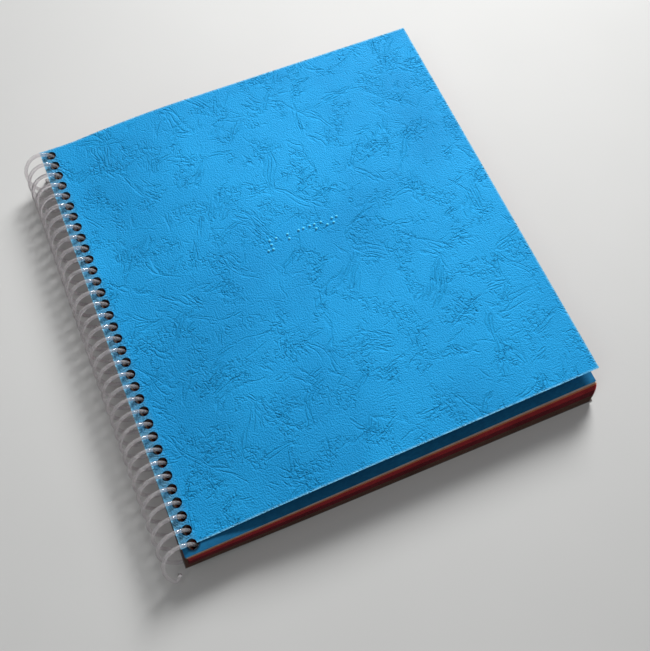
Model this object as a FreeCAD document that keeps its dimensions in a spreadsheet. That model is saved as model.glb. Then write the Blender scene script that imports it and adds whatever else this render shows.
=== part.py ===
"""Coil-bound book: two card covers and coloured leaves on one leaning plastic coil.

Frame: +X toward the fore-edge, +Y toward the head of the page, +Z up, origin on the table under
the middle of the book. The coil's axis runs along Y. All sizes are in millimetres and degrees.
"""
import FreeCAD, Part
import math
import os
import Sketcher
from FreeCAD import Placement, Rotation, Vector

# Driving dimensions: name, value, what it measures
DIMENSIONS = [
    ("coil_radius", 8.7, "coil axis to the middle of the strand"),
    ("strand_diameter", 1.8, "thickness of the coil's plastic strand"),
    ("coil_lean", 0.41, "lean of each loop toward the head, per millimetre of height"),
    ("coil_ground_gap", 0.15, "lowest loop above the table"),
    ("head_tail_angle", 100.0, "strand before the first hole, measured below the axis"),
    ("foot_tail_angle", 222.0, "strand past the last hole, to where its tail is crimped"),
    ("tail_spring_angle", 115.0, "strand past the last hole, to where the last loop springs open"),
    ("tail_spring", 2.3, "how far the last loop springs open toward the foot"),
    ("tail_turn", 37.0, "crimped tail's turn from the coil's axis toward the head"),
    ("tail_bend", 1.8, "tangent length of the bend in the crimped tail"),
    ("tail_stub", 2.0, "straight end of the crimped tail"),
    ("hole_pitch", 6.35, "spacing of the holes, four to the inch"),
    ("hole_count", 34, "holes along the spine"),
    ("hole_diameter", 4.7, "punched round holes"),
    ("hole_margin", 5.0, "spine edge to the row of holes"),
    ("cover_width", 207.0, "spine edge to fore-edge of both covers"),
    ("cover_thickness", 0.4, "leather-grain card"),
    ("cover_head_margin", 3.9, "first hole to the head of the front cover"),
    ("cover_foot_margin", 0.3, "last hole to the foot of the front cover, which cuts it open"),
    ("leaf_width", 205.2, "spine edge to fore-edge of a leaf"),
    ("leaf_thickness", 0.2, "heavy paper"),
    ("leaf_head_margin", 4.0, "first hole to the head of the leaves and the back cover"),
    ("leaf_foot_margin", 4.2, "last hole to the foot of the leaves and the back cover"),
    ("spine_gap", 0.32, "air between sheets where the coil holds them"),
    ("fore_gap", 0.45, "air between sheets at the fore-edge"),
    ("cover_lift", 6.2, "air under the sprung front cover at the fore-edge"),
    ("bend_offset", 6.0, "row of holes to where a sheet starts to bend"),
    ("bend_short", 12.0, "width of the tight part of the bend, next to the spine"),
    ("bend_long", 56.0, "width of the slow part of the bend"),
    ("fan_turn", 1.0, "how far the back is fanned round from the front cover"),
]

# Leaves from the back of the book to the front: name and how many of each
LEAF_GROUPS = [
    ("brown_leaf", 5),
    ("maroon_leaf", 5),
    ("red_leaf", 5),
    ("orange_leaf", 2),
    ("cream_leaf", 2),
    ("blue_flyleaf", 1),
]

QUARTER_TURN = 90.0
POINTS_PER_TURN = 24
LEAST_COIL_GAP = 0.4

doc = FreeCAD.newDocument("coil_bound_book")


def make_sheet():
    """Write the driving dimensions into a spreadsheet, one alias to a row."""
    table = doc.addObject("Spreadsheet::Sheet", "Size")
    for row, (alias, amount, meaning) in enumerate(DIMENSIONS, start=1):
        table.set(f"A{row}", meaning)
        table.set(f"B{row}", str(amount))
        table.setAlias(f"B{row}", alias)
    doc.recompute()
    return table


size = make_sheet()

# Places shared by every piece, as expressions of the driving dimensions
HALF_ROW = "(Size.hole_count - 1) * Size.hole_pitch / 2"
AXIS_HEIGHT = "(Size.coil_radius + Size.strand_diameter / 2 + Size.coil_ground_gap)"
FORE_REACH = "(Size.coil_radius + Size.leaf_width - Size.hole_margin)"
AXIS_X = f"((Size.coil_radius + Size.strand_diameter / 2 - {FORE_REACH}) / 2)"
FAN_REACH = "Size.cover_width * sin(Size.fan_turn * 1 deg)"
ROW_MIDDLE_Y = f"((Size.leaf_foot_margin - Size.cover_head_margin + {FAN_REACH}) / 2)"
LEAF_STEP = "(Size.leaf_thickness + Size.spine_gap)"
COVER_STEP = "((Size.leaf_thickness + Size.cover_thickness) / 2 + Size.spine_gap)"
FORE_STEP = "(Size.leaf_thickness + Size.fore_gap)"
FIRST_FORE = "(Size.cover_thickness + Size.fore_gap + Size.leaf_thickness / 2)"


def number(expression):
    """Value of an expression of the driving dimensions."""
    result = size.evalExpression(expression)
    return float(getattr(result, "Value", result))


def leaf_names():
    """Node names of the leaves, from the back of the book to the front."""
    names = []
    for group, count in LEAF_GROUPS:
        if count == 1:
            names.append(group)
        else:
            names += [f"{group}_{index}" for index in range(1, count + 1)]
    return names


def bind(feature, path, expression):
    """Bind one property to an expression of the driving dimensions."""
    feature.setExpression(path, expression)


def origin_plane(body, role):
    """The body's own origin plane of that role."""
    return next(plane for plane in body.Origin.OriginFeatures if plane.Role == role)


def profile_points(shape):
    """Corners of a sheet's underside, seen along the spine, and its two bend radii."""
    drop = shape["fore"] - shape["spine"]
    angle = 2 * math.atan(abs(drop) / (shape["short"] + shape["long"]))
    radius_short = shape["short"] / math.sin(angle)
    radius_long = shape["long"] / math.sin(angle)
    rise = math.copysign(radius_short * (1 - math.cos(angle)), drop)
    low = -shape["thick"] / 2
    edge = Vector(-shape["margin"], shape["spine"] + low)
    bend = Vector(shape["bend"], shape["spine"] + low)
    turn = Vector(bend.x + shape["short"], bend.y + rise)
    flat = Vector(turn.x + shape["long"], shape["fore"] + low)
    fore = Vector(shape["width"] - shape["margin"], shape["fore"] + low)
    return edge, bend, turn, flat, fore, radius_short, radius_long, angle, drop > 0


def bend_arc(centre, radius, first, last):
    """Arc of a circle between two angles."""
    circle = Part.Circle(centre, Vector(0, 0, 1), radius)
    return Part.ArcOfCircle(circle, first, last)


def add_profile(sketch, shape):
    """Draw a sheet edge-on: flat at the spine, an S-bend of two tangent arcs, flat to the fore-edge."""
    edge, bend, turn, flat, fore, radius_short, radius_long, angle, rising = profile_points(shape)
    thick = shape["thick"]
    up = Vector(0, thick)
    upright = math.pi / 2
    side = 1 if rising else -1
    centre_short = Vector(bend.x, bend.y + side * radius_short)
    centre_long = Vector(flat.x, flat.y - side * radius_long)
    if rising:
        short_span = (-upright, -upright + angle)
        long_span = (upright, upright + angle)
        at_bend, at_turn_short, at_flat, at_turn_long = 1, 2, 1, 2
    else:
        short_span = (upright - angle, upright)
        long_span = (-upright - angle, -upright)
        at_bend, at_turn_short, at_flat, at_turn_long = 2, 1, 2, 1
    top_short = radius_short - side * thick
    top_long = radius_long + side * thick
    sketch.addGeometry([
        Part.LineSegment(edge, bend),
        bend_arc(centre_short, radius_short, *short_span),
        bend_arc(centre_long, radius_long, *long_span),
        Part.LineSegment(flat, fore),
        Part.LineSegment(fore, fore + up),
        Part.LineSegment(fore + up, flat + up),
        bend_arc(centre_long, top_long, *long_span),
        bend_arc(centre_short, top_short, *short_span),
        Part.LineSegment(bend + up, edge + up),
        Part.LineSegment(edge + up, edge),
    ])
    sketch.addConstraint([
        Sketcher.Constraint("Tangent", 0, 2, 1, at_bend),
        Sketcher.Constraint("Tangent", 1, at_turn_short, 2, at_turn_long),
        Sketcher.Constraint("Tangent", 2, at_flat, 3, 1),
        Sketcher.Constraint("Coincident", 3, 2, 4, 1),
        Sketcher.Constraint("Coincident", 4, 2, 5, 1),
        Sketcher.Constraint("Tangent", 5, 2, 6, at_flat),
        Sketcher.Constraint("Tangent", 6, at_turn_long, 7, at_turn_short),
        Sketcher.Constraint("Tangent", 7, at_bend, 8, 1),
        Sketcher.Constraint("Coincident", 8, 2, 9, 1),
        Sketcher.Constraint("Coincident", 9, 2, 0, 1),
        Sketcher.Constraint("Horizontal", 0),
        Sketcher.Constraint("Horizontal", 3),
        Sketcher.Constraint("Horizontal", 5),
        Sketcher.Constraint("Horizontal", 8),
        Sketcher.Constraint("Vertical", 4),
        Sketcher.Constraint("Vertical", 9),
        Sketcher.Constraint("Coincident", 6, 3, 2, 3),
        Sketcher.Constraint("Coincident", 7, 3, 1, 3),
    ])
    dimensions = [
        ("margin", Sketcher.Constraint("DistanceX", 0, 1, -1, 1, shape["margin"])),
        ("width", Sketcher.Constraint("DistanceX", 0, 1, 3, 2, shape["width"])),
        ("bend", Sketcher.Constraint("DistanceX", -1, 1, 0, 2, bend.x)),
        ("short", Sketcher.Constraint("DistanceX", 0, 2, 1, at_turn_short, shape["short"])),
        ("long", Sketcher.Constraint("DistanceX", 1, at_turn_short, 2, at_flat, shape["long"])),
        ("thick", Sketcher.Constraint("DistanceY", 9, 2, 9, 1, thick)),
        ("spine", Sketcher.Constraint("DistanceY", -1, 1, 0, 1, edge.y)),
        ("fore", Sketcher.Constraint("DistanceY", -1, 1, 3, 2, fore.y)),
    ]
    for name, constraint in dimensions:
        sketch.renameConstraint(sketch.addConstraint(constraint), name)


def make_sheet_body(label, sizes, share):
    """One sheet with its bend and its row of holes.

    share runs from -1 at the back cover to 1 at the front cover.
    """
    spine, fore = sizes["spine"], sizes["fore"]
    thick, width = sizes["thick"], sizes["width"]
    exact = {
        "spine": number(spine), "fore": number(fore), "thick": number(thick), "width": number(width),
        "margin": number("Size.hole_margin"), "bend": number("Size.bend_offset"),
        "short": number("Size.bend_short"), "long": number("Size.bend_long"),
    }
    turn = f"(Size.fan_turn * {(1 - share) / 2!r})"

    body = doc.addObject("PartDesign::Body", label)
    body.Label = label
    profile = body.newObject("Sketcher::SketchObject", f"{label}_profile")
    profile.AttachmentSupport = (origin_plane(body, "XZ_Plane"), [""])
    profile.MapMode = "FlatFace"
    bind(profile, "AttachmentOffset.Base.z", f"-({HALF_ROW} + {sizes['head']})")
    add_profile(profile, exact)
    bind(profile, "Constraints.margin", "Size.hole_margin")
    bind(profile, "Constraints.width", width)
    bind(profile, "Constraints.bend", "Size.bend_offset")
    bind(profile, "Constraints.short", "Size.bend_short")
    bind(profile, "Constraints.long", "Size.bend_long")
    bind(profile, "Constraints.thick", thick)
    bind(profile, "Constraints.spine", f"{spine} - {thick} / 2")
    bind(profile, "Constraints.fore", f"{fore} - {thick} / 2")

    pad = body.newObject("PartDesign::Pad", f"{label}_sheet")
    pad.Profile = profile
    bind(pad, "Length", f"2 * {HALF_ROW} + {sizes['head']} + {sizes['foot']}")
    profile.Visibility = False
    doc.recompute()

    # The row of holes keeps to the coil while the sheet's outline is fanned round it
    punch = body.newObject("Sketcher::SketchObject", f"{label}_punch")
    punch.AttachmentSupport = (origin_plane(body, "XY_Plane"), [""])
    punch.MapMode = "FlatFace"
    punch.AttachmentOffset = Placement(Vector(), Rotation(Vector(0, 0, 1), number(turn)))
    bind(punch, "AttachmentOffset.Rotation.Angle", turn)
    first = Vector(0, number(HALF_ROW))
    punch.addGeometry(Part.Circle(first, Vector(0, 0, 1), number("Size.hole_diameter / 2")))
    punch.addConstraint(Sketcher.Constraint("PointOnObject", 0, 3, -2))
    row = punch.addConstraint(Sketcher.Constraint("DistanceY", -1, 1, 0, 3, first.y))
    punch.renameConstraint(row, "row")
    across = punch.addConstraint(Sketcher.Constraint("Diameter", 0, number("Size.hole_diameter")))
    punch.renameConstraint(across, "across")
    bind(punch, "Constraints.row", HALF_ROW)
    bind(punch, "Constraints.across", "Size.hole_diameter")

    hole = body.newObject("PartDesign::Pocket", f"{label}_hole")
    hole.Profile = punch
    hole.Type = "ThroughAll"
    hole.Reversed = True
    doc.recompute()
    holes = body.newObject("PartDesign::LinearPattern", f"{label}_holes")
    holes.Originals = [hole]
    holes.Direction = (punch, ["V_Axis"])
    holes.Reversed = True
    bind(holes, "Length", f"2 * {HALF_ROW}")
    bind(holes, "Occurrences", "Size.hole_count")
    body.Tip = holes

    # The holes are centred on the strand where it passes through this sheet
    above = f"({spine} - {AXIS_HEIGHT})"
    ring_angle = f"asin({above} / Size.coil_radius)"
    row_x = f"{AXIS_X} + Size.coil_radius * cos({ring_angle})"
    row_y = f"{ROW_MIDDLE_Y} + Size.coil_lean * {above} - Size.hole_pitch * {ring_angle} / 360 deg"
    body.Placement = Placement(Vector(), Rotation(Vector(0, 0, 1), -number(turn)))
    bind(body, "Placement.Base.x", row_x)
    bind(body, "Placement.Base.y", row_y)
    bind(body, "Placement.Rotation.Angle", f"-{turn}")
    return body


def make_sheets():
    """Back cover, leaves and front cover, from the table upwards."""
    names = leaf_names()
    middle = (len(names) - 1) / 2
    half_block = f"({middle!r} * {LEAF_STEP} + {COVER_STEP})"
    reach = number(half_block)
    leaf_edges = {"head": "Size.leaf_head_margin", "foot": "Size.leaf_foot_margin"}
    card = {"thick": "Size.cover_thickness", "width": "Size.cover_width"}
    paper = {"thick": "Size.leaf_thickness", "width": "Size.leaf_width"}

    back = {"spine": f"({AXIS_HEIGHT} - {half_block})", "fore": "(Size.cover_thickness / 2)"}
    bodies = [make_sheet_body("back_cover", {**back, **card, **leaf_edges}, -1.0)]
    for index, name in enumerate(names):
        heights = {
            "spine": f"({AXIS_HEIGHT} + {index - middle!r} * {LEAF_STEP})",
            "fore": f"({FIRST_FORE} + {index} * {FORE_STEP})",
        }
        share = (index - middle) * number(LEAF_STEP) / reach
        bodies.append(make_sheet_body(name, {**heights, **paper, **leaf_edges}, share))
    top_leaf = f"({FIRST_FORE} + {len(names) - 1} * {FORE_STEP} + Size.leaf_thickness / 2)"
    front = {
        "spine": f"({AXIS_HEIGHT} + {half_block})",
        "fore": f"({top_leaf} + Size.cover_lift + Size.cover_thickness / 2)",
        "head": "Size.cover_head_margin",
        "foot": "Size.cover_foot_margin",
    }
    bodies.append(make_sheet_body("front_cover", {**front, **card}, 1.0))
    return bodies


def last_loop_share(angle):
    """How far along the sprung part of the last loop an angle lies, from 0 to 1."""
    past_hole = math.degrees(angle) - (size.hole_count - 1) * 360
    share = (past_hole - size.tail_spring_angle) / (size.foot_tail_angle - size.tail_spring_angle)
    return min(max(share, 0.0), 1.0)


def coil_point(angle):
    """Middle of the strand at an angle about the axis: 0 toward the sheets, 90 on top."""
    radius = size.coil_radius
    height = radius * math.sin(angle)
    first_hole = number(f"{ROW_MIDDLE_Y} + {HALF_ROW}")
    share = last_loop_share(angle)
    sprung = size.tail_spring * share ** 2 * (3 - 2 * share)
    along = first_hole - size.hole_pitch * angle / (2 * math.pi) + size.coil_lean * height - sprung
    return Vector(number(AXIS_X) + radius * math.cos(angle), along, number(AXIS_HEIGHT) + height)


def coil_direction(angle):
    """Unit tangent of the strand at that angle."""
    radius = size.coil_radius
    climb = radius * math.cos(angle)
    share = last_loop_share(angle)
    sprung_turn = math.radians(size.foot_tail_angle - size.tail_spring_angle)
    springing = size.tail_spring * 6 * share * (1 - share) / sprung_turn
    along = size.coil_lean * climb - size.hole_pitch / (2 * math.pi) - springing
    return Vector(-radius * math.sin(angle), along, climb).normalize()


def tangent_arc(start, corner, end):
    """Arc between two points whose tangents meet at a corner equally far from both."""
    chord_middle = (start + end) / 2
    half_turn = (corner - start).getAngle(end - start)
    share = math.tan(half_turn / 2) / math.tan(half_turn)
    return Part.Arc(start, chord_middle + (corner - chord_middle) * share, end).toShape()


def biarc(start_angle, end_angle):
    """Two tangent arcs that follow the coil from one angle to the next."""
    start, end = coil_point(start_angle), coil_point(end_angle)
    leave, arrive = coil_direction(start_angle), coil_direction(end_angle)
    gap = end - start
    both = leave + arrive
    # The tangent length d solves |gap - d * both| = 2 * d
    square = both.dot(both) - 4
    linear = -2 * gap.dot(both)
    constant = gap.dot(gap)
    length = (-linear - math.sqrt(linear * linear - 4 * square * constant)) / (2 * square)
    first_corner = start + leave * length
    second_corner = end - arrive * length
    joint = (first_corner + second_corner) / 2
    return [tangent_arc(start, first_corner, joint), tangent_arc(joint, second_corner, end)]


def crimped_tail(angle):
    """The strand's cut end, bent in toward the coil's axis and the head."""
    start, leave = coil_point(angle), coil_direction(angle)
    inward = Vector(-math.cos(angle), 0, -math.sin(angle))
    turn = math.radians(size.tail_turn)
    stub = inward * math.cos(turn) + Vector(0, 1, 0) * math.sin(turn)
    corner = start + leave * size.tail_bend
    straight = corner + stub * size.tail_bend
    return [tangent_arc(start, corner, straight), Part.makeLine(straight, straight + stub * size.tail_stub)]


def least_self_gap(points, strand):
    """Least air between parts of the strand that lie more than half a turn apart."""
    least = math.inf
    for index, point in enumerate(points):
        for other in points[index + POINTS_PER_TURN // 2:index + 2 * POINTS_PER_TURN]:
            least = min(least, point.distanceToPoint(other) - strand)
    return least


def make_coil():
    """The binding coil: one unbroken strand through every hole, cut at the head, crimped at the foot."""
    start = math.radians(-size.head_tail_angle)
    end = math.radians((size.hole_count - 1) * 360 + size.foot_tail_angle)
    steps = round(math.degrees(end - start) / QUARTER_TURN)
    angles = [start + (end - start) * step / steps for step in range(steps + 1)]
    edges = []
    for here, there in zip(angles, angles[1:]):
        edges += biarc(here, there)
    path = Part.Wire(edges + crimped_tail(end))
    section = Part.Circle(coil_point(start), coil_direction(start), size.strand_diameter / 2)
    shell = Part.BRepOffsetAPI.MakePipeShell(path)
    shell.add(Part.Wire(section.toShape()))
    shell.build()
    shell.makeSolid()

    coil = doc.addObject("Part::Feature", "binding_coil")
    coil.Label = "binding_coil"
    coil.Shape = shell.shape()
    coil.Placement = Placement()
    spaced = path.discretize(Number=POINTS_PER_TURN * round(math.degrees(end - start) / 360))
    gap = least_self_gap(spaced, size.strand_diameter)
    tube = math.pi * size.strand_diameter ** 2 / 4 * path.Length
    print(f"binding_coil: least gap to itself {gap:.2f} mm")
    print(f"binding_coil: volume {coil.Shape.Volume:.1f} mm3, strand length times section {tube:.1f} mm3")
    if gap <= LEAST_COIL_GAP:
        raise RuntimeError("the coil's loops come too close to each other")
    return coil


def check(pieces):
    """Stop if anything in the document failed or a piece is empty or invalid."""
    failed = [item.Name for item in doc.Objects if {"Invalid", "Error"} & set(item.State)]
    if failed:
        raise RuntimeError(f"failed features: {failed}")
    for piece in pieces:
        if piece.Shape.isNull() or not piece.Shape.isValid() or len(piece.Shape.Solids) != 1:
            raise RuntimeError(f"{piece.Label} is not one valid solid")


def main():
    pieces = make_sheets()
    pieces.append(make_coil())
    doc.recompute()
    check(pieces)
    os.makedirs("parts", exist_ok=True)
    for piece in pieces:
        piece.Shape.exportStep(os.path.join("parts", f"{piece.Label}.step"))
    print(f"{len(pieces)} pieces written")


main()
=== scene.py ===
"""Coil-bound book: leather-grain card cover, coloured leaves and a clear plastic coil.

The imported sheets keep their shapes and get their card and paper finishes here. The coil is drawn
again as a smooth strand, and the cover gets its raised dots. Metres, in the frame of the part.
"""
import math

import bmesh
import bpy
from mathutils import Matrix, Vector


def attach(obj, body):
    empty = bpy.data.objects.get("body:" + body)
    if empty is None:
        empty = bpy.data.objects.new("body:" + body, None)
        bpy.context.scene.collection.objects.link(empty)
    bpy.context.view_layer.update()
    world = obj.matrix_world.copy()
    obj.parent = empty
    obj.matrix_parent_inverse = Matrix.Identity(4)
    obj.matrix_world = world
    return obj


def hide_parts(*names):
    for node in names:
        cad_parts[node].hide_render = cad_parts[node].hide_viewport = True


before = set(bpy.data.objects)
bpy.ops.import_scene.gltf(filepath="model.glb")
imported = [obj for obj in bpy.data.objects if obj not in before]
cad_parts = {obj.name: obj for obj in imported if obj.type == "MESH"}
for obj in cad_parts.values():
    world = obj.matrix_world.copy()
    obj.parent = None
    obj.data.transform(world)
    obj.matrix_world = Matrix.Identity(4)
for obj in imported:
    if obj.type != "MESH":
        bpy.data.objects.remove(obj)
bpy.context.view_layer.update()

MM = 0.001
FULL_TURN = 360.0
MERGE_DISTANCE = 1e-6

# Coil, in millimetres and degrees
COIL_AXIS_X = -99.65
COIL_AXIS_Z = 9.75
COIL_RADIUS = 8.7
COIL_LEAN = 0.41
HOLE_PITCH = 6.35
HOLE_COUNT = 34
FIRST_HOLE_Y = 106.731
HEAD_TAIL_ANGLE = 100.0
FOOT_TAIL_ANGLE = 222.0
TAIL_SPRING_ANGLE = 115.0
TAIL_SPRING = 2.3
TAIL_TURN = 37.0
TAIL_BEND = 1.8
TAIL_STUB = 2.0

# Strand: its radius in millimetres, and how finely its line and its round section are drawn
STRAND_RADIUS = 0.9
STRAND_STEPS_PER_TURN = 16
STRAND_LINE_ORDER = 4
STRAND_LINE_STEPS = 3
STRAND_ROUND_STEPS = 5

# Raised dots, in millimetres and degrees: the first cell's top left dot, the spacings and the dot's shape
DOTS_START = (-11.0, 18.4)
DOT_STEP = 2.5
CELL_STEP = 5.95
DOT_RADIUS = 1.1
DOT_HEIGHT = 0.75
DOT_SEAT = 0.06
DOT_RINGS = 6
DOT_SIDES = 14
DOT_SHARP_ANGLE = 50.0

# Column and row of each dot place of a cell
DOT_PLACES = {1: (0, 0), 2: (0, -1), 3: (0, -2), 4: (1, 0), 5: (1, -1), 6: (1, -2)}

# Numerals in raised dots: the number sign and one to six, as dot places of a cell
NUMERAL_CELLS = [(3, 4, 5, 6), (1,), (1, 2), (1, 4), (1, 4, 5), (1, 5), (1, 2, 4)]

# Leather grain: level of the plain card, and the shares of the embossing that each kind of mark takes
GRAIN_LEVEL = 0.85
FINE_GRAIN = 1.1
PEBBLE_DEPTH = 0.65
WRINKLE_DEPTH = 0.6
CREASE_DEPTH = 0.4
INSIDE_GRAIN = 0.15

# Wrinkles: turn, width and length of a grain and of a bundle, where its noise starts to show, and seed
WRINKLE_LAYERS = [
    (-30.0, 2.0, 12.0, 10.0, 26.0, 0.61, 21.0),
    (38.0, 2.2, 14.0, 11.0, 30.0, 0.62, 32.0),
    (-78.0, 1.9, 10.0, 9.0, 22.0, 0.62, 43.0),
]
WRINKLE_FADE = 0.07

# How far each seed moves a pattern in millimetres, first seeds of the other marks, and noise roughness
SEED_STEP = 37.3
CREASE_SEED = 61.0
PEBBLE_SEED = 11.0
NOISE_ROUGHNESS = 0.55

# How marks wander: lump width and reach, in millimetres
WRINKLE_SWEEP = (30.0, 16.0)
WRINKLE_WAVER = (4.0, 1.2)
CREASE_SWEEP = (40.0, 50.0)
CREASE_WAVER = (5.0, 2.0)
PEBBLE_WAVER = (2.4, 2.0)
FIBRE_WAVER = (4.0, 3.0)

# Valleys between cells: cells to the millimetre, how uneven they are, and width as a share of a cell
WRINKLE_VALLEYS = (1.0, 0.95, 0.22)
CREASE_VALLEYS = (0.045, 1.0, 0.03)
PEBBLE_VALLEYS = (0.55, 1.0, 0.26)

# Patches of marks: lump width in millimetres, and where their noise starts to show and shows fully
CREASE_STRETCHES = (9.0, 0.52, 0.62)
PEBBLE_CLUSTERS = (14.0, 0.50, 0.60)
PEBBLE_BREAKS = (2.8, 0.38, 0.55)

# Widths of uneven patterns, in millimetres
FINE_GRAIN_WIDTH = 0.72
CARD_CLOUD = 60.0
INSIDE_SPECKLE = 1.3
SMEAR_WIDTH = 3.5
WORN_SPECKLE = 1.8
CORE_FIBRE = 0.35
SCUFF_WIDTH = 0.6
STOCK_CLOUD = 45.0
THUMBED_PATCH = 14.0
EDGE_FIBRE = 0.4
HAZE_WIDTH = 6.0
HANDLING_WIDTH = 0.5
TABLE_CLOUD = 120.0

# Marks at a sheet's edges, in millimetres: worn and thumbed bands, and the rubbed strip at the spine
WORN_BAND = 1.1
THUMBED_BAND = 9.0
RUBBED_STRIP = (2.5, 9.0)

# Painted shade round a hole: two distances from its middle in millimetres, and the share of the shade at
# each
HOLE_WALL_SHADE = (2.5, 3.0, 1.0, 0.0)
HOLE_RING_SHADE = (2.6, 3.7, 0.9, 0.0)

# Ramps over a pattern: two of its numbers, and what they become where that isn't 0 and 1
CLOUDING = (0.3, 0.7)
OUTER_FACE = (-0.3, 0.3)
CUT_EDGE = (0.35, 0.75, 1.0, 0.0)
EMBOSSED_SHADE = (0.3, 0.95)
SMEARING = (0.35, 0.7, 0.6, 0.95)
WEAR = (0.3, 0.6, 0.35, 0.9)
HIGHLIGHT_PATCHES = (0.2, 0.6, 0.6, 1.0)
FLECKING = (0.3, 0.75, 0.0, 0.45)
THUMBING = (0.4, 0.65, 0.1, 0.5)
CARD_ROUGHNESS = (0.2, 1.1, 0.72, 0.56)
DOT_ROUGHNESS = (0.3, 0.7, 0.5, 0.64)
PLASTIC_ROUGHNESS = (0.35, 0.75, 0.02, 0.09)
STOCK_ROUGHENING = (0.25, 0.75)
STOCK_ROUGHNESS_SWING = 0.06

# Heights on a dot where its painted highlight starts and is full, in millimetres and as a share of the dot
HIGHLIGHT_START = 0.1
HIGHLIGHT_FULL = 0.8

# Relief of each finish: depth in metres and strength
EMBOSSING = (0.0005, 1.0)
SCUFF_RELIEF = (0.00004, 0.6)
HANDLING_RELIEF = (0.00002, 0.25)
TOOTH_STRENGTH = 0.8

# Gloss of the card, the dots, the leaves and the table
CARD_GLOSS = 0.1
DOT_GLOSS = 0.2
STOCK_GLOSS = 0.14
TABLE_GLOSS = 0.1

# Colours of the cover's card: a pair is the darker and the brighter tone of an uneven colour
CARD_BLUE = ((0.010, 0.295, 0.650), (0.016, 0.370, 0.785))
# Painted shade for the valleys of the grain
CARD_VALLEY_SHADE = (0.009, 0.270, 0.600)
CARD_INSIDE = ((0.022, 0.255, 0.520), (0.034, 0.315, 0.620))
CARD_RUBBED = (0.100, 0.255, 0.370)
CARD_WORN = (0.220, 0.580, 0.820)
CARD_CORE = ((0.060, 0.330, 0.600), (0.140, 0.460, 0.740))
# Painted shade on the walls of the cover's holes
CARD_HOLE_SHADE = (0.010, 0.060, 0.110)
DOT_BLUE = (0.012, 0.330, 0.720)
# Painted highlight on the tops of the dots
DOT_HIGHLIGHT = (0.150, 0.720, 0.930)

# Flecks, thumbed edges, and painted shade round the holes of the leaves, as shares of a stock's darker tone
FLECK_TONE = 0.6
THUMBED_TONE = 0.45
HOLE_SHADE_TONE = 0.1

# Leaves and plain cards: stretch of the fibres, then fibre width in millimetres, tooth in metres, roughness
FIBRE_STRETCH = (0.35, 1.0, 1.0)
FLYLEAF_TOOTH = (0.9, 0.00003, 0.66)
BACK_TOOTH = (0.9, 0.00004, 0.66)
PAPER_TOOTH = (0.7, 0.00002, 0.72)

# Stocks by the start of their sheets' names: finish, darker and brighter tone, cut edge, and tooth
SHEET_STOCKS = {
    # The flyleaf's two tones are set darker than its blue card, as painted shade from the cover lying over
    # it
    "blue_flyleaf": ("flyleaf_card", (0.007, 0.130, 0.285), (0.009, 0.160, 0.345),
                     (0.040, 0.240, 0.420), FLYLEAF_TOOTH),
    "cream_leaf": ("cream_paper", (0.620, 0.500, 0.430), (0.720, 0.600, 0.520),
                   (0.780, 0.680, 0.610), PAPER_TOOTH),
    "orange_leaf": ("orange_paper", (0.640, 0.190, 0.085), (0.740, 0.250, 0.110),
                    (0.780, 0.360, 0.220), PAPER_TOOTH),
    "red_leaf": ("red_paper", (0.400, 0.030, 0.040), (0.500, 0.042, 0.052),
                 (0.560, 0.090, 0.090), PAPER_TOOTH),
    "maroon_leaf": ("maroon_paper", (0.150, 0.016, 0.024), (0.200, 0.024, 0.032),
                    (0.240, 0.050, 0.056), PAPER_TOOTH),
    "brown_leaf": ("brown_paper", (0.105, 0.056, 0.040), (0.145, 0.078, 0.056),
                   (0.190, 0.120, 0.095), PAPER_TOOTH),
    "back_cover": ("back_card", (0.135, 0.112, 0.104), (0.175, 0.145, 0.134),
                   (0.240, 0.205, 0.190), BACK_TOOTH),
}

# Clear plastic of the coil
PLASTIC_TINT = ((0.80, 0.77, 0.785), (0.88, 0.85, 0.865))
PLASTIC_CLEARNESS = 0.84
PLASTIC_REFRACTION = 1.5

# Table: half its width in metres, its finish, and its fading in millimetres from the book's middle
TABLE_HALF = 3.0
TABLE_GREY = ((0.60, 0.60, 0.59), (0.65, 0.65, 0.64))
TABLE_ROUGHNESS = 0.7
TABLE_FADE = (260.0, 720.0)

# Lamps: place, target and width in metres, power in watts and spread in degrees
LAMPS = {
    "window_lamp": ((0.62, 0.76, 0.64), (0.04, 0.05, 0.0), 0.40, 3.4, 72.0),
    "fill_lamp": ((-0.62, -0.20, 0.85), (-0.05, 0.0, 0.0), 0.35, 0.8, 180.0),
}

# Room: its colour, and its strength as light and as it is seen
ROOM_COLOUR = (0.90, 0.91, 0.92)
ROOM_LIGHT = 0.24
ROOM_SEEN = 0.8

# Camera: place, sensor and focal length in millimetres, directions, and nearest distance seen in metres
CAMERA_PLACE = (-63.94, -147.39, 363.5)
CAMERA_RIGHT = (0.9171, -0.3972, 0.0352)
CAMERA_FORWARD = (0.1710, 0.3120, -0.9346)
SENSOR_WIDTH = 36.0
FOCAL_LENGTH = 43.2
NEAREST_SEEN = 0.01


def rest_box(name):
    """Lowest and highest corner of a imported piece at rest, in millimetres."""
    corners = [Vector(corner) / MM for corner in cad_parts[name].bound_box]
    return ([min(corner[axis] for corner in corners) for axis in range(3)],
            [max(corner[axis] for corner in corners) for axis in range(3)])


def rest_outline(name):
    """Spine, fore-edge, foot and head of a sheet at rest, in millimetres."""
    low, high = rest_box(name)
    return low[0], high[0], low[1], high[1]


# A middle leaf's outline stands for all the leaves
COVER_OUTLINE = rest_outline("front_cover")
COVER_TOP_Z = rest_box("front_cover")[1][2]
LEAF_OUTLINE = rest_outline("red_leaf_3")


def new_material(name):
    """A material, the tree that its pattern goes into, and its shader."""
    material = bpy.data.materials.new(name)
    material.use_nodes = True
    tree = material.node_tree
    return material, tree, tree.nodes["Principled BSDF"]


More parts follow.
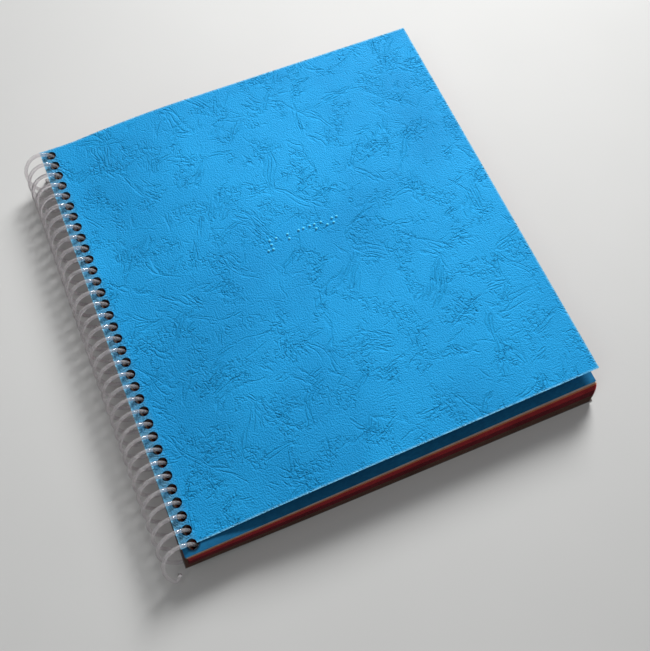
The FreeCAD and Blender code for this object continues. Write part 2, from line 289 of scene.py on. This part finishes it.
def node(tree, kind, settings=None, **inputs):
    """Add a node. Its inputs go by name, or by an underscore and a number, and are set or linked."""
    made = tree.nodes.new(kind)
    for key, value in (settings or {}).items():
        setattr(made, key, value)
    for key, value in inputs.items():
        number = key[1:]
        socket = made.inputs[int(number) if number.isdigit() else key.replace("_", " ")]
        if isinstance(value, bpy.types.NodeSocket):
            tree.links.new(value, socket)
        else:
            socket.default_value = value
    return made


def math_node(tree, operation, first, second=0.0, third=0.0):
    """Arithmetic on the numbers of a pattern."""
    return node(tree, "ShaderNodeMath", {"operation": operation}, _0=first, _1=second, _2=third).outputs[0]


def product(tree, first, second):
    """Two numbers of a pattern multiplied."""
    return math_node(tree, "MULTIPLY", first, second)


def difference(tree, first, second):
    """The second number of a pattern taken from the first."""
    return math_node(tree, "SUBTRACT", first, second)


def vector_node(tree, operation, first, second):
    """Arithmetic on two places of a pattern."""
    return node(tree, "ShaderNodeVectorMath", {"operation": operation}, _0=first, _1=second).outputs[0]


def scaled(tree, place, factor):
    """A place with all its distances multiplied by one factor."""
    return node(tree, "ShaderNodeVectorMath", {"operation": "SCALE"}, Vector=place, Scale=factor).outputs[0]


def parts(tree, place):
    """The three parts of a place or a direction: away from the spine, along it and up."""
    return node(tree, "ShaderNodeSeparateXYZ", None, Vector=place).outputs


def ramp(tree, value, low, high, start=0.0, end=1.0):
    """Turn a number between low and high smoothly into one between start and end."""
    return node(tree, "ShaderNodeMapRange", {"interpolation_type": "SMOOTHSTEP"}, Value=value, From_Min=low,
                From_Max=high, To_Min=start, To_Max=end).outputs["Result"]


def mix_colour(tree, share, first, second):
    """Mix two colours of a pattern."""
    first, second = [(*tone, 1.0) if isinstance(tone, tuple) else tone for tone in (first, second)]
    return node(tree, "ShaderNodeMix", {"data_type": "RGBA"}, _0=share, _6=first, _7=second).outputs[2]


def millimetres(tree):
    """Place on the piece, in millimetres."""
    return scaled(tree, node(tree, "ShaderNodeTexCoord").outputs["Object"], 1.0 / MM)


def noise(tree, place, grain, detail, seed=0.0, flat=False):
    """Uneven pattern whose lumps are about one grain wide, in millimetres; flat ones ignore the height."""
    moved = vector_node(tree, "ADD", place, (SEED_STEP * seed, -SEED_STEP * seed, 0.0))
    return node(tree, "ShaderNodeTexNoise", {"noise_dimensions": "2D" if flat else "3D"}, Vector=moved,
                Scale=1.0 / grain, Detail=detail, Roughness=NOISE_ROUGHNESS)


def lumps(tree, place, grain, detail=3.0):
    """Uneven numbers about 0.5, in lumps about one grain wide, in millimetres."""
    return noise(tree, place, grain, detail).outputs["Fac"]


def patches(tree, place, grain, low, high, seed):
    """1 inside uneven patches about one grain wide and 0 between them."""
    return ramp(tree, noise(tree, place, grain, 1.0, seed, True).outputs["Fac"], low, high)


def wandered(tree, place, grain, reach, seed=0.0, flat=True):
    """Place shifted by up to about half the reach, in lumps of one grain, so that lines wander."""
    wander = noise(tree, place, grain, 1.0, seed, flat).outputs["Color"]
    centred = vector_node(tree, "SUBTRACT", wander, (0.5, 0.5, 0.5))
    return vector_node(tree, "ADD", place, scaled(tree, centred, reach))


def drawn_out(tree, place, turn, width, length, seed):
    """Place on the card turned, moved by the seed, and measured in widths and lengths of a mark."""
    moved = vector_node(tree, "ADD", place, (SEED_STEP * seed, SEED_STEP, 0.0))
    return node(tree, "ShaderNodeMapping", {"vector_type": "TEXTURE"}, Vector=moved,
                Rotation=(0.0, 0.0, math.radians(turn)), Scale=(width, length, 1.0)).outputs[0]


def valleys(tree, place, cells, unevenness, width):
    """1 along the borders of uneven cells, falling to 0 one width inside them."""
    border = node(tree, "ShaderNodeTexVoronoi", {"feature": "DISTANCE_TO_EDGE", "voronoi_dimensions": "2D"},
                  Vector=place, Scale=cells, Randomness=unevenness).outputs["Distance"]
    return ramp(tree, border, 0.0, width, 1.0, 0.0)


def wrinkle_bundles(tree, place):
    """Valleys between long narrow grains, in bundles that each have a direction of their own."""
    total = 0.0
    for turn, width, length, bundle_width, bundle_length, low, seed in WRINKLE_LAYERS:
        curved = wandered(tree, place, *WRINKLE_SWEEP, seed)
        bent = wandered(tree, curved, *WRINKLE_WAVER, seed + 1.0)
        line = valleys(tree, drawn_out(tree, bent, turn, width, length, seed), *WRINKLE_VALLEYS)
        bundle = drawn_out(tree, curved, turn, bundle_width, bundle_length, seed)
        shown = patches(tree, bundle, 1.0, low, low + WRINKLE_FADE, seed + 5.0)
        total = math_node(tree, "MAXIMUM", total, product(tree, line, shown))
    return total


def creases(tree, place):
    """Single creases that wander across the card and break off."""
    curved = wandered(tree, place, *CREASE_SWEEP, CREASE_SEED)
    bent = wandered(tree, curved, *CREASE_WAVER, CREASE_SEED + 1.0)
    return product(tree, valleys(tree, bent, *CREASE_VALLEYS),
                   patches(tree, place, *CREASE_STRETCHES, CREASE_SEED + 2.0))


def pebbles(tree, place):
    """Clusters of small worm-like pebbles, over a fine grain that covers the whole card."""
    bent = wandered(tree, place, *PEBBLE_WAVER, PEBBLE_SEED)
    cluster = patches(tree, place, *PEBBLE_CLUSTERS, PEBBLE_SEED + 1.0)
    broken = patches(tree, place, *PEBBLE_BREAKS, PEBBLE_SEED + 2.0)
    deep = product(tree, product(tree, valleys(tree, bent, *PEBBLE_VALLEYS), broken), cluster)
    fine = noise(tree, place, FINE_GRAIN_WIDTH, 2.0, PEBBLE_SEED + 3.0, True).outputs["Fac"]
    return difference(tree, product(tree, fine, FINE_GRAIN), product(tree, deep, PEBBLE_DEPTH))


def leather_grain(tree, place):
    """Height of the embossed leather grain, about 1.4 on the plain card and less in the valleys."""
    height = math_node(tree, "ADD", pebbles(tree, place), GRAIN_LEVEL)
    bundled = product(tree, wrinkle_bundles(tree, place), WRINKLE_DEPTH)
    creased = product(tree, creases(tree, place), CREASE_DEPTH)
    return difference(tree, height, math_node(tree, "MAXIMUM", bundled, creased))


def facing_up(tree):
    """1 on the upper face of a sheet at rest, 0 on its cut edges and -1 on its lower face."""
    return parts(tree, node(tree, "ShaderNodeTexCoord").outputs["Normal"])["Z"]


def cut_edge_share(tree):
    """1 on the cut edges of a sheet and in its holes, 0 on its two faces."""
    return ramp(tree, math_node(tree, "ABSOLUTE", facing_up(tree)), *CUT_EDGE)


def hole_distance(tree, place):
    """Millimetres to the middle of the nearest hole. The holes of all sheets follow the coil's strand."""
    away, along, up = parts(tree, place)
    height = math_node(tree, "DIVIDE", difference(tree, up, COIL_AXIS_Z), COIL_RADIUS)
    angle = math_node(tree, "ARCSINE", height)
    row = math_node(tree, "MULTIPLY_ADD", math_node(tree, "COSINE", angle), COIL_RADIUS, COIL_AXIS_X)
    off_row = difference(tree, away, row)
    lean = math_node(tree, "MULTIPLY_ADD", height, COIL_LEAN * COIL_RADIUS, FIRST_HOLE_Y)
    upright_pitches = math_node(tree, "DIVIDE", difference(tree, lean, along), HOLE_PITCH)
    pitches = math_node(tree, "MULTIPLY_ADD", angle, -1.0 / math.tau, upright_pitches)
    not_before_first = math_node(tree, "MAXIMUM", math_node(tree, "ROUND", pitches), 0.0)
    nearest = math_node(tree, "MINIMUM", not_before_first, HOLE_COUNT - 1.0)
    off_hole = product(tree, difference(tree, pitches, nearest), HOLE_PITCH)
    square = math_node(tree, "ADD", product(tree, off_row, off_row), product(tree, off_hole, off_hole))
    return math_node(tree, "SQRT", square)


def rim_share(tree, place, outline, band):
    """1 at a sheet's outer edges, falling to 0 one band inside them."""
    spine, fore, foot, head = outline
    away, along, _ = parts(tree, place)
    sideways = math_node(tree, "MINIMUM", difference(tree, away, spine), difference(tree, fore, away))
    lengthways = math_node(tree, "MINIMUM", difference(tree, along, foot), difference(tree, head, along))
    return ramp(tree, math_node(tree, "MINIMUM", sideways, lengthways), 0.0, band, 1.0, 0.0)


def dress(tree, shader, colour, roughness, relief, depth, strength):
    """Link a finish's colour, roughness and relief to its shader."""
    tree.links.new(colour, shader.inputs["Base Color"])
    tree.links.new(roughness, shader.inputs["Roughness"])
    bump = node(tree, "ShaderNodeBump", None, Strength=strength, Distance=depth, Height=relief)
    tree.links.new(bump.outputs["Normal"], shader.inputs["Normal"])


def cover_leather_card():
    """Blue leather-grain card with painted shade darkening its valleys a little, and paler where its edges
    are worn.
    """
    material, tree, shader = new_material("cover_leather_card")
    place = millimetres(tree)
    upward = facing_up(tree)
    # Only a trace of the embossing shows on the inside
    pressed = ramp(tree, upward, *OUTER_FACE, INSIDE_GRAIN, 1.0)
    grain = product(tree, leather_grain(tree, place), pressed)
    body = mix_colour(tree, ramp(tree, lumps(tree, place, CARD_CLOUD), *CLOUDING), *CARD_BLUE)
    # Painted shade: the valleys of the grain are coloured darker
    embossed = mix_colour(tree, ramp(tree, grain, *EMBOSSED_SHADE), CARD_VALLEY_SHADE, body)
    inside = mix_colour(tree, lumps(tree, place, INSIDE_SPECKLE), *CARD_INSIDE)
    faces = mix_colour(tree, ramp(tree, upward, *OUTER_FACE), inside, embossed)

    # The strip between the holes and the spine is rubbed grey, in patches
    strip_end, clean_start = [COVER_OUTLINE[0] + reach for reach in RUBBED_STRIP]
    strip = ramp(tree, parts(tree, place)["X"], strip_end, clean_start, 1.0, 0.0)
    smear = ramp(tree, lumps(tree, place, SMEAR_WIDTH, 4.0), *SMEARING)
    overlaid = mix_colour(tree, product(tree, strip, smear), faces, CARD_RUBBED)

    # The rim is worn pale, the cut edges show the core, and the hole walls get painted shade
    worn = product(tree, rim_share(tree, place, COVER_OUTLINE, WORN_BAND),
                   ramp(tree, lumps(tree, place, WORN_SPECKLE), *WEAR))
    edged = mix_colour(tree, worn, overlaid, CARD_WORN)
    core = mix_colour(tree, lumps(tree, place, CORE_FIBRE, 2.0), *CARD_CORE)
    cut_edge = cut_edge_share(tree)
    cut = mix_colour(tree, cut_edge, edged, core)
    shaded_hole_wall = product(tree, ramp(tree, hole_distance(tree, place), *HOLE_WALL_SHADE), cut_edge)
    colour = mix_colour(tree, shaded_hole_wall, cut, CARD_HOLE_SHADE)
    dress(tree, shader, colour, ramp(tree, grain, *CARD_ROUGHNESS), grain, *EMBOSSING)
    shader.inputs["Specular IOR Level"].default_value = CARD_GLOSS
    return material


def highlit_dot_card():
    """The cover's card where the dots are pressed up, with a painted highlight on their tops, in patches.
    """
    material, tree, shader = new_material("highlit_dot_card")
    place = millimetres(tree)
    scuffs = lumps(tree, place, SCUFF_WIDTH, 2.0)
    # Painted highlight: the tops of the dots are coloured paler, in patches
    top = ramp(tree, parts(tree, place)["Z"], COVER_TOP_Z + HIGHLIGHT_START,
               COVER_TOP_Z + HIGHLIGHT_FULL * DOT_HEIGHT)
    overlaid = product(tree, top, ramp(tree, scuffs, *HIGHLIGHT_PATCHES))
    colour = mix_colour(tree, overlaid, DOT_BLUE, DOT_HIGHLIGHT)
    dress(tree, shader, colour, ramp(tree, scuffs, *DOT_ROUGHNESS), scuffs, *SCUFF_RELIEF)
    shader.inputs["Specular IOR Level"].default_value = DOT_GLOSS
    return material


def toned(colour, share):
    """A colour darkened to a share of itself."""
    return tuple(share * part for part in colour)


def sheet_stock(name, dark, bright, edge, fibre, tooth, rough):
    """Plain card or paper: clouded colour, fibres and flecks, with a paler fibrous cut edge."""
    material, tree, shader = new_material(name)
    place = millimetres(tree)
    body = mix_colour(tree, ramp(tree, lumps(tree, place, STOCK_CLOUD), *CLOUDING), dark, bright)
    strands = vector_node(tree, "MULTIPLY", wandered(tree, place, *FIBRE_WAVER, flat=False), FIBRE_STRETCH)
    fibres = lumps(tree, strands, fibre)
    flecked = mix_colour(tree, ramp(tree, fibres, *FLECKING), body, toned(dark, FLECK_TONE))

    # The edges are thumbed darker in patches, the cut is pale, and the holes get painted shade
    thumbed = product(tree, rim_share(tree, place, LEAF_OUTLINE, THUMBED_BAND),
                      ramp(tree, lumps(tree, place, THUMBED_PATCH), *THUMBING))
    handled = mix_colour(tree, thumbed, flecked, toned(dark, THUMBED_TONE))
    pale = mix_colour(tree, lumps(tree, place, EDGE_FIBRE, 2.0), bright, edge)
    cut = mix_colour(tree, cut_edge_share(tree), handled, pale)
    shaded_hole_ring = ramp(tree, hole_distance(tree, place), *HOLE_RING_SHADE)
    colour = mix_colour(tree, shaded_hole_ring, cut, toned(dark, HOLE_SHADE_TONE))
    roughness = ramp(tree, fibres, *STOCK_ROUGHENING, rough - STOCK_ROUGHNESS_SWING,
                     rough + STOCK_ROUGHNESS_SWING)
    dress(tree, shader, colour, roughness, fibres, tooth, TOOTH_STRENGTH)
    shader.inputs["Specular IOR Level"].default_value = STOCK_GLOSS
    return material


def clear_coil_plastic():
    """Clear plastic strand, faintly smoky, with handling marks that dull its gloss."""
    material, tree, shader = new_material("clear_coil_plastic")
    place = millimetres(tree)
    tint = mix_colour(tree, ramp(tree, lumps(tree, place, HAZE_WIDTH), *CLOUDING), *PLASTIC_TINT)
    marks = lumps(tree, place, HANDLING_WIDTH)
    dress(tree, shader, tint, ramp(tree, marks, *PLASTIC_ROUGHNESS), marks, *HANDLING_RELIEF)
    shader.inputs["Transmission Weight"].default_value = PLASTIC_CLEARNESS
    shader.inputs["IOR"].default_value = PLASTIC_REFRACTION
    return material


def pale_table():
    """Pale grey table top that turns clear, and so shows the pale room, far from the book."""
    material, tree, shader = new_material("pale_table")
    place = millimetres(tree)
    grey = mix_colour(tree, lumps(tree, place, TABLE_CLOUD), *TABLE_GREY)
    tree.links.new(grey, shader.inputs["Base Color"])
    shader.inputs["Roughness"].default_value = TABLE_ROUGHNESS
    shader.inputs["Specular IOR Level"].default_value = TABLE_GLOSS
    far = node(tree, "ShaderNodeVectorMath", {"operation": "LENGTH"}, _0=place).outputs["Value"]
    clear = node(tree, "ShaderNodeBsdfTransparent").outputs[0]
    faded = node(tree, "ShaderNodeMixShader", None, _0=ramp(tree, far, *TABLE_FADE), _1=shader.outputs[0],
                 _2=clear).outputs[0]
    tree.links.new(faded, tree.nodes["Material Output"].inputs["Surface"])
    return material


def finish_sheets():
    """Give every card and leaf its own stock."""
    stocks = {"front_cover": cover_leather_card()}
    for kind, (finish, dark, bright, edge, tooth) in SHEET_STOCKS.items():
        stocks[kind] = sheet_stock(finish, dark, bright, edge, *tooth)
    for name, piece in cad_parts.items():
        stock = next((stocks[kind] for kind in stocks if name.startswith(kind)), None)
        if stock:
            piece.data.materials.clear()
            piece.data.materials.append(stock)


def add_object(name, data):
    """Put a mesh, a line, a lamp or a camera into the scene."""
    added = bpy.data.objects.new(name, data)
    bpy.context.scene.collection.objects.link(added)
    return added


def close_up(shape):
    """Merge a shape's doubled points and turn its faces outwards."""
    bmesh.ops.remove_doubles(shape, verts=shape.verts, dist=MERGE_DISTANCE)
    bmesh.ops.recalc_face_normals(shape, faces=shape.faces)


def strand_point(angle, reach):
    """Middle of the strand at an angle about the coil's axis, 0 toward the sheets and 90 on top."""
    turn = math.radians(angle)
    past_hole = angle - (HOLE_COUNT - 1) * FULL_TURN
    share = (past_hole - TAIL_SPRING_ANGLE) / (FOOT_TAIL_ANGLE - TAIL_SPRING_ANGLE)
    share = min(max(share, 0.0), 1.0)
    sprung = TAIL_SPRING * share ** 2 * (3 - 2 * share)
    height = reach * math.sin(turn)
    along = FIRST_HOLE_Y - HOLE_PITCH * angle / FULL_TURN + COIL_LEAN * height - sprung
    return Vector((COIL_AXIS_X + reach * math.cos(turn), along, COIL_AXIS_Z + height))


def strand_route():
    """Control points of the strand: the leaning loops, then the crimped tail at the foot."""
    step = FULL_TURN / STRAND_STEPS_PER_TURN
    # The smooth line cuts inside its control points, so they stand that much further out
    reach = COIL_RADIUS * 3 / (2 + math.cos(math.radians(step)))
    last = (HOLE_COUNT - 1) * FULL_TURN + FOOT_TAIL_ANGLE
    count = round((last + HEAD_TAIL_ANGLE) / step)
    angles = [-HEAD_TAIL_ANGLE + (last + HEAD_TAIL_ANGLE) * index / count for index in range(count + 1)]
    route = [strand_point(angles[0], COIL_RADIUS)]
    route += [strand_point(angle, reach) for angle in angles[1:]]

    end = math.radians(last)
    inward = Vector((-math.cos(end), 0.0, -math.sin(end)))
    turn = math.radians(TAIL_TURN)
    stub = inward * math.cos(turn) + Vector((0.0, 1.0, 0.0)) * math.sin(turn)
    leave = (strand_point(last, COIL_RADIUS) - strand_point(last - 1.0, COIL_RADIUS)).normalized()
    corner = strand_point(last, COIL_RADIUS) + leave * TAIL_BEND
    return route + [corner, corner + stub * TAIL_BEND, corner + stub * (TAIL_BEND + TAIL_STUB)]


def strand_line():
    """The strand's line with its round section, as a curve."""
    line = bpy.data.curves.new("coil_line", "CURVE")
    line.dimensions = "3D"
    line.bevel_depth = STRAND_RADIUS * MM
    line.bevel_resolution = STRAND_ROUND_STEPS
    line.use_fill_caps = True
    spline = line.splines.new("NURBS")
    route = strand_route()
    spline.points.add(len(route) - 1)
    for point, place in zip(spline.points, route):
        point.co = (*(place * MM), 1.0)
    spline.order_u = STRAND_LINE_ORDER
    spline.use_endpoint_u = True
    spline.resolution_u = STRAND_LINE_STEPS
    return line


def make_coil():
    """The clear strand, one smooth tube through all the holes."""
    drawn = add_object("coil_line", strand_line())
    bpy.context.view_layer.update()
    mesh = bpy.data.meshes.new_from_object(drawn.evaluated_get(bpy.context.evaluated_depsgraph_get()))
    bpy.data.objects.remove(drawn)
    tube = bmesh.new()
    tube.from_mesh(mesh)
    close_up(tube)
    # The side faces have four corners each, and the cut ends stay flat
    for face in tube.faces:
        face.smooth = len(face.verts) == 4
    tube.to_mesh(mesh)
    tube.free()
    mesh.materials.clear()
    mesh.materials.append(clear_coil_plastic())
    coil = add_object("clear_coil", mesh)
    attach(coil, "binding_coil")
    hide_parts("binding_coil")


def raise_dot(dots, middle):
    """Spin one bell-shaped dot with a flat foot about its middle, which is in millimetres."""
    rise = DOT_HEIGHT + DOT_SEAT
    chain = []
    for ring in range(DOT_RINGS + 1):
        out = ring / DOT_RINGS
        bell = 0.5 * (1 + math.cos(math.pi * out))
        chain.append(dots.verts.new((middle + Vector((DOT_RADIUS * out, 0.0, rise * bell))) * MM))
    chain.append(dots.verts.new(middle * MM))
    edges = [dots.edges.new(pair) for pair in zip(chain, chain[1:])]
    bmesh.ops.spin(dots, geom=chain + edges, cent=middle * MM, axis=(0.0, 0.0, 1.0),
                   angle=2 * math.pi, steps=DOT_SIDES, use_merge=True)


def make_dots():
    """Raised dots pressed up from the cover, as generic numerals."""
    mesh = bpy.data.meshes.new("raised_dots")
    dots = bmesh.new()
    for cell, raised in enumerate(NUMERAL_CELLS):
        for column, row in [DOT_PLACES[dot] for dot in raised]:
            raise_dot(dots, Vector((DOTS_START[0] + cell * CELL_STEP + column * DOT_STEP,
                                    DOTS_START[1] + row * DOT_STEP, COVER_TOP_Z - DOT_SEAT)))
    close_up(dots)
    for face in dots.faces:
        face.smooth = True
    dots.to_mesh(mesh)
    dots.free()
    mesh.set_sharp_from_angle(angle=math.radians(DOT_SHARP_ANGLE))
    mesh.materials.append(highlit_dot_card())
    piece = add_object("raised_dots", mesh)
    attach(piece, "front_cover")


def make_table():
    """Plain pale table top that fades into the pale room far from the book."""
    mesh = bpy.data.meshes.new("table_top")
    top = bmesh.new()
    bmesh.ops.create_grid(top, x_segments=1, y_segments=1, size=TABLE_HALF)
    top.to_mesh(mesh)
    top.free()
    mesh.materials.append(pale_table())
    table = add_object("table_top", mesh)


def add_lamp(name, place, target, width, power, spread):
    """A soft square lamp that faces its target, with its beam held to a spread in degrees."""
    lamp = bpy.data.lights.new(name, "AREA")
    lamp.shape = "SQUARE"
    lamp.size = width
    lamp.energy = power
    lamp.spread = math.radians(spread)
    holder = add_object(name, lamp)
    holder.location = place
    holder.rotation_euler = (Vector(target) - Vector(place)).to_track_quat("-Z", "Y").to_euler()


def light_studio():
    """Soft lamps, and pale light all round that looks brighter than it shines."""
    for name, settings in LAMPS.items():
        add_lamp(name, *settings)
    world = bpy.data.worlds.new("studio")
    world.use_nodes = True
    tree = world.node_tree
    room = tree.nodes["Background"]
    room.inputs["Color"].default_value = (*ROOM_COLOUR, 1.0)
    path = node(tree, "ShaderNodeLightPath").outputs
    mirrored = math_node(tree, "MAXIMUM", path["Is Glossy Ray"], path["Is Transmission Ray"])
    seen = math_node(tree, "MAXIMUM", path["Is Camera Ray"], mirrored)
    tree.links.new(ramp(tree, seen, 0.0, 1.0, ROOM_LIGHT, ROOM_SEEN), room.inputs["Strength"])
    bpy.context.scene.world = world


def place_camera():
    """Camera at the photograph's place above the spine side of the foot."""
    lens = bpy.data.cameras.new("photo_view")
    lens.sensor_fit = "HORIZONTAL"
    lens.sensor_width = SENSOR_WIDTH
    lens.lens = FOCAL_LENGTH
    lens.clip_start = NEAREST_SEEN
    forward = Vector(CAMERA_FORWARD).normalized()
    up = Vector(CAMERA_RIGHT).cross(forward).normalized()
    turned = Matrix((forward.cross(up), up, -forward)).transposed().to_4x4()
    camera = add_object("photo_view", lens)
    camera.matrix_world = Matrix.Translation(Vector(CAMERA_PLACE) * MM) @ turned
    bpy.context.scene.camera = camera


finish_sheets()
make_coil()
make_dots()
make_table()
light_studio()
place_camera()
bpy.context.scene.view_settings.view_transform = "Standard"
